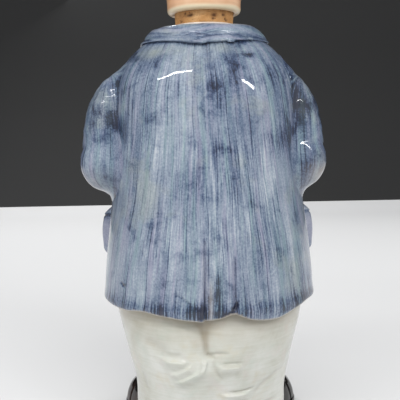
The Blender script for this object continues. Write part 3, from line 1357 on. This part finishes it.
def make_sleeves():
    """Each sleeve is shaped on its own, because the two arms don't stand out equally far."""
    for name, side in (("left", 1), ("right", -1)):
        is_left = side > 0
        shape = sculpt(sleeve(side * ARM_SHIFT), (28, -38, 108), (66, 22, 190), 0.7)
        vertices = shape[0]
        x, y, z = vertices.T
        reach = (vertices - CUFF) @ FOREARM
        dark = 0.6 * pool(torso, vertices, 1.2) * np.maximum(armhole(z), smooth_step(-2, -10, y))
        dark += 0.40 * bump(np.hypot(x - 50, z - 160), 11) * smooth_step(-4, 4, y)
        dark += 0.5 * bump(reach + 8.8, 0.6) + 0.26 * smooth_step(-10, 4, y)
        if is_left:
            dark += 1.1 * bump(np.hypot(x - 43.5, z - 158), 4.5) * smooth_step(0, 4, y)
        patch = bump(np.hypot(x - 55, z - 130), 6) * smooth_step(-8, 0, y)
        add_piece(
            f"{name}_sleeve_form", "decanter", BLUE, shape if is_left else mirrored(*shape),
            (f"{name}_sleeve",),
            across=np.arctan2(y - ELBOW[1] + 0.01, x - 46) * 12 + (100 if is_left else 161),
            along=z - 0.6 * y + 400, dark=np.clip(dark, 0, 1.5),
            bare=0.8 * bump(reach, 0.6) + (0.12 if is_left else 0.50) * patch,
        )


def make_pairs():
    """Hands, pockets, lapels and shoes: each left form, and its mirror image on the right."""
    forms = [
        ("hand", hand, (26, -48, 96), (60, -10, 138), FLESH),
        ("pocket", pocket, (20, -48, 80), (62, 4, 119), BLUE),
        ("lapel", lapel, (-3, -52, 145), (28, -2, 197), BLUE),
        ("shoe", shoe, (2, -47, -1), (52, 28, 24), BLACK),
    ]
    for name, field, low, high, glaze in forms:
        left = sculpt(field, low, high, 0.5)
        vertices = left[0]
        x, y, z = vertices.T
        facts = {"dark": 0.0, "bare": 0.0}
        if name == "pocket":
            facts.update(across=x * 0.7 + y * 0.8, along=z)
            facts["dark"] = 0.8 * pool(hand, vertices, 1.0) + 0.5 * bump(z - POCKET_TOP_Z + 5.4, 0.6)
            facts["dark"] += 0.5 * pool(torso, vertices, 0.7)
        if name == "lapel":
            facts.update(across=x * 0.8 + z * 0.35, along=z - x)
            facts["dark"] = 0.5 * pool(torso, vertices, 0.7)
        if name == "hand":
            blush = 0.3 * bump(np.linalg.norm(vertices - THUMB_TIP, axis=1), 4)
            facts.update(blush=blush, lips=0.0, brow=0.0)
            facts["dark"] = 0.5 * bump(nail_form(x, y, z), 0.3) + 0.5 * pool(pocket, vertices, 0.6)
        if name == "shoe":
            facts["dark"] = bump(z - SOLE_THICKNESS, 0.5)
        for side, shape in (("left", left), ("right", mirrored(*left))):
            add_piece(f"{side}_{name}_form", "decanter", glaze, shape, (f"{side}_{name}",), **facts)


def make_collar_and_shirt():
    shape = sculpt(collar, (-40, -34, 184), (40, 36, 204), 0.45)
    x, y, z = shape[0].T
    dark = 0.9 * pool(torso, shape[0], 1.0) + 0.35 * bump(z - 195.5, 1.2) * behind(y)
    add_piece(
        "collar_roll", "decanter", BLUE, shape, ("collar",), across=z * 0.9 + 1.6 * np.sin(x / 7),
        along=np.arctan2(x, y) * 28 + 400, dark=dark, bare=0.6 * bump(z - COLLAR_TOP_Z, 0.8),
    )
    shape = sculpt(shirt_front, (-17, -50, 144), (17, -8, 201), 0.5)
    x, y, z = shape[0].T
    dark = 0.6 * bump(lapel(np.abs(x), y, z), 0.7)
    add_piece("shirt_front", "decanter", CREAM, shape, ("shirt",), dark=dark)
    bottom, top, bevel = 188.0, 200.0, 0.7
    shape = lathe([
        (TUBE_RADIUS, bottom),
        (BAND_RADIUS, bottom),
        (BAND_RADIUS, top - bevel),
        (BAND_RADIUS - bevel, top),
        (TUBE_RADIUS + bevel, top),
        (TUBE_RADIUS, top - bevel + 0.1),
        (TUBE_RADIUS, bottom),
    ], 96)
    add_piece("shirt_band", "decanter", CREAM, shape, ("shirt",), dark=0)
    for number, middle_z in enumerate(BUTTON_Z, 1):
        shape = sculpt(button(middle_z), (-5, -55, middle_z - 5), (5, -30, middle_z + 5), 0.3)
        add_piece(f"button_{number}", "decanter", NAVY, shape, ("buttons",), dark=0)


def make_trousers_piece():
    shape = sculpt(trousers, (-51, -42, 2), (51, 43, 90), 0.6)
    vertices = shape[0]
    x, y, z = vertices.T
    back = smooth_step(3, 12, y)
    seam = bump(x - seam_x(z), 1.2 + 2.6 * smooth_step(54, 68, z))
    dark = 0.66 * back * seam * smooth_step(49, 53, z) + 0.50 * smooth_step(48, 66, z)
    for folds, share, side in ((SEAT_FOLDS, back, x), (SHIN_FOLDS, y < 0, np.abs(x))):
        for start, end, bend, width, height in folds:
            dark += share * max(-height, 0) * 0.5 * crease(side, z, start, end, bend, width * 0.8)
    dark += 0.8 * bump(x, 1.2) * smooth_step(58, 40, z) * (y < 0)
    dark += 0.30 * bump(z - hem_height(x, y) + 1.5, 2.4) + 0.7 * pool_on_both(shoe, vertices, 0.8)
    add_piece(
        "trousers_cloth", "decanter", IVORY, shape, ("trousers",),
        across=np.arctan2(x, y) * 40, along=z, dark=np.clip(dark, 0, 1),
    )


TUBE_BOTTOM_Z = 170.6
TUBE_LIP = 1.2


def make_mouth():
    """The pale neck tube with its rounded rim, bored for the cork."""
    rim = [
        (TUBE_RADIUS - TUBE_LIP * (1 - cos(turn)), MOUTH_TOP_Z - TUBE_LIP * (1 - sin(turn)))
        for turn in np.linspace(0, pi / 2, 7)
    ]
    mouth_radius = cork_radius(MOUTH_TOP_Z) + CORK_CLEARANCE
    throat_radius = CORK_BOTTOM_RADIUS + CORK_CLEARANCE
    shape = lathe([
        (TUBE_RADIUS, TUBE_BOTTOM_Z),
        *rim,
        (mouth_radius + 0.5, MOUTH_TOP_Z),
        (mouth_radius, MOUTH_TOP_Z - 0.5),
        (throat_radius, CORK_BOTTOM_Z),
        (throat_radius, TUBE_BOTTOM_Z),
        (TUBE_RADIUS, TUBE_BOTTOM_Z),
    ], 120)
    add_piece("mouth_tube", "decanter", CREAM, shape, ("neck_tube",), dark=0)


# Pits that show in the band of cork behind: turn about the mouth, height, half width and half height.
SEEN_PITS = [
    (pi / 2 + 0.70, 206.6, 1.1, 0.7),
    (pi / 2 + 0.33, 206.2, 1.5, 0.9),
    (pi / 2 + 0.30, 204.6, 0.8, 0.6),
    (pi / 2 - 0.52, 206.3, 2.2, 0.7),
]
OTHER_PITS = 46
PIT_RANGES = [(-pi, pi), (183, 216), (0.4, 1.3), (0.3, 0.8)]


def make_cork():
    """The tapered cork with softened edges and pits in its side."""
    edge = 0.8
    side = []
    for z in np.linspace(CORK_BOTTOM_Z, CORK_TOP_Z, 90):
        end = min(z - CORK_BOTTOM_Z, CORK_TOP_Z - z)
        side.append((cork_radius(z) - max(edge - end, 0), z))
    vertices, faces, normals = lathe([(0.01, CORK_BOTTOM_Z), *side, (0.01, CORK_TOP_Z)], 240)
    x, y, z = vertices.T
    radius = np.hypot(x, y)
    turn = np.arctan2(y, x)
    random = np.random.default_rng(7)
    depth = 0.03 + 0.03 * wander(x, y, z, 3.0, 51)
    dark = np.zeros(len(x))
    pits = SEEN_PITS + [[random.uniform(*limits) for limits in PIT_RANGES] for _ in range(OTHER_PITS)]
    for angle, height, half_width, half_height in pits:
        off = (turn - angle + pi) % (2 * pi) - pi
        shade = bump(np.hypot(off * CORK_TOP_RADIUS / half_width, (z - height) / half_height), 1.0)
        depth += 0.55 * shade
        dark = np.maximum(dark, shade)
    on_side = radius > CORK_BOTTOM_RADIUS - 2
    scale = 1 - np.where(on_side, depth, 0.05) / np.maximum(radius, 1)
    vertices = np.column_stack([x * scale, y * scale, z])
    add_piece(
        "cork_bark", "cork", CORK, (vertices, faces, normals), ("cork",),
        across=turn * CORK_TOP_RADIUS, along=z * 1.6, dark=np.where(on_side, dark, 0) * 0.9,
    )


def make_head():
    shape = sculpt(bare_head, (-31, -44, 206), (31, 33, 286), 0.62)
    x, y, z = shape[0].T
    side = np.abs(x)
    ahead = smooth_step(-12, -20, y)
    blush = 0.8 * bump(np.hypot(side - 13.5, z - NOSE_Z - 1), 7)
    blush = ahead * (blush + 0.5 * bump(np.hypot(x, z - NOSE_Z - 1), 4.5)) + 0.5 * bump(ear(side, y, z), 2.0)
    lid_edge = bump(eye_opening(side, z), 0.45) * (np.abs(z - EYE_Z) < 6) * (side > 3)
    rise = z - HEAD_BASE_Z + 0.35 * wander(x, y, z, 12, 61)
    dark = 0.8 * bump(mouth_line(side, y, z), 0.5) + bump(nostril(side, y, z), 0.6) + 0.75 * ahead * lid_edge
    dark += 0.35 * bump(hairline(y, z - HEAD_BASE_Z), 0.8) + 0.22 * bump(rise - 2.9, 0.5)
    add_piece(
        "head_flesh", "head", FLESH, shape, ("head",),
        lips=ahead * smooth_step(0.9, 0.1, np.minimum(upper_lip(side, y, z), lower_lip(side, y, z))),
        brow=ahead * smooth_step(1.2, 0.1, brow_line(side, y, z)), blush=blush, dark=np.clip(dark, 0, 1),
        bare=np.clip(smooth_step(2.6, 1.2, rise) + 0.12 * smooth_step(8.0, 4.0, rise), 0, 0.95),
    )


def make_eyes():
    """Two painted balls, their poles turned forwards."""
    profile = [(EYE_RADIUS * max(sin(a), 0.002), EYE_RADIUS * cos(a)) for a in np.linspace(0, pi, 40)]
    ball, faces, normals = lathe(profile, 48)
    ring = np.arccos(np.clip(ball[:, 2] / EYE_RADIUS, -1, 1)) / (pi / 2)
    for name, side in (("left_eye", 1), ("right_eye", -1)):
        centre = np.array([side * EYE_X, EYE_Y, EYE_Z])
        turned = np.column_stack([ball[:, 0], -ball[:, 2], ball[:, 1]]) + centre
        add_piece(name, "head", EYE_PAINT, (turned, faces, normals), ring=np.clip(ring, 0, 1))


def make_hair():
    shape = sculpt(hair, (-30, -36, 214), (30, 36, 290), 0.55)
    across, along = strands(*shape[0].T)
    crest = 0.5 + 0.5 * lock_waves(*shape[0].T)
    add_piece("hair_locks", "head", AUBURN, shape, ("hair",), across=across, along=along, crest=crest)


make_jacket_piece()
make_sleeves()
make_pairs()
make_collar_and_shirt()
make_trousers_piece()
make_mouth()
make_cork()
make_head()
make_eyes()
make_hair()


# Studio and camera

MIDDLE = Vector((0.0, 0.0, 0.14))
CAMERA_BEHIND = 0.320
CAMERA_HEIGHT = 0.1504
CAMERA_X = 0.0037
CAMERA_PITCH = radians(5.8)
CAMERA_ROLL = radians(-1.10)
CAMERA_LENS = 57.6
# Long narrow tubes give the thin highlights: azimuth from the figure's back and elevation in degrees, length
# in metres, power, and roll in degrees.
TUBE_LAMPS = [(31, 43.5, 0.70, 3.0, 12), (-41, 28.5, 0.34, 1.5, -34), (176, 54, 0.50, 2.2, 0)]
TUBE_LAMP_WIDTH = 0.035
# Broad soft lamps fill in without a reflection of their own: place and power.
SOFT_LAMPS = [
    ((-0.30, 0.95, 0.95), 7.5),
    ((0.95, 0.65, 0.45), 3.5),
    ((0.35, -0.95, 0.80), 7.5),
    ((-0.95, -0.45, 0.50), 3.5),
]


def add_stage():
    """A pale floor that curves up into a plain dark backdrop on the side away from the camera."""
    half_width = 2.2
    bend_start = -0.85
    bend_radius = 0.35
    bend = [
        (bend_start - bend_radius * sin(turn), bend_radius - bend_radius * cos(turn))
        for turn in np.linspace(0, pi / 2, 12)
    ]
    for name, profile, shade in (
        ("floor", [(1.8, 0.0), *bend[:3]], 0.66),
        ("backdrop", [*bend[2:], (-1.2, 2.6)], 0.027),
    ):
        vertices = [(x, y, z) for y, z in profile for x in (-half_width, half_width)]
        faces = [(2 * i, 2 * i + 1, 2 * i + 3, 2 * i + 2) for i in range(len(profile) - 1)]
        mesh = bpy.data.meshes.new(name)
        mesh.from_pydata(vertices, [], faces)
        mesh.polygons.foreach_set("use_smooth", [True] * len(faces))
        mesh.materials.append(Nodes(name).finish((shade, shade, shade), 0.9))
        stage = bpy.data.objects.new(name, mesh)
        bpy.context.scene.collection.objects.link(stage)


def add_lamp(name, place, size, power, glossy=True, roll=0.0):
    """A lamp aimed at the figure's middle. Without glossy it makes no reflection of its own."""
    light = bpy.data.lights.new(name, "AREA")
    light.shape = "RECTANGLE"
    light.size, light.size_y = size
    light.energy = power
    lamp = bpy.data.objects.new(name, light)
    lamp.location = place
    aim = (MIDDLE - Vector(place)).to_track_quat("-Z", "Y").to_matrix().to_4x4()
    lamp.rotation_euler = (aim @ Matrix.Rotation(radians(roll), 4, "Z")).to_euler()
    lamp.visible_glossy = glossy
    bpy.context.scene.collection.objects.link(lamp)


def add_camera():
    """The photograph's view, from close behind the figure and a little down."""
    camera = bpy.data.objects.new("camera", bpy.data.cameras.new("camera"))
    camera.data.sensor_fit = "HORIZONTAL"
    camera.data.sensor_width = 36.0
    camera.data.lens = CAMERA_LENS
    camera.data.clip_start = 0.01
    place = Matrix.Translation((CAMERA_X, AXIS_Y + CAMERA_BEHIND, CAMERA_HEIGHT))
    pitch = Matrix.Rotation(pi / 2 - CAMERA_PITCH, 4, "X")
    roll = Matrix.Rotation(CAMERA_ROLL, 4, "Z")
    camera.matrix_world = place @ Matrix.Rotation(pi, 4, "Z") @ pitch @ roll
    bpy.context.scene.collection.objects.link(camera)
    bpy.context.scene.camera = camera


add_stage()
for azimuth, elevation, length, power, roll in TUBE_LAMPS:
    turn = radians(azimuth)
    rise = radians(elevation)
    way = Vector((sin(turn) * cos(rise), cos(turn) * cos(rise), sin(rise)))
    add_lamp("tube", MIDDLE + way, (length, TUBE_LAMP_WIDTH), power, roll=roll)
for place, power in SOFT_LAMPS:
    add_lamp("soft lamp", place, (0.8, 0.8), power, glossy=False)

world = bpy.data.worlds.new("studio")
world.use_nodes = True
sky = world.node_tree.nodes["Background"]
sky.inputs["Color"].default_value = (0.75, 0.77, 0.80, 1.0)
sky.inputs["Strength"].default_value = 0.45
bpy.context.scene.world = world
bpy.context.scene.view_settings.view_transform = "Standard"
add_camera()
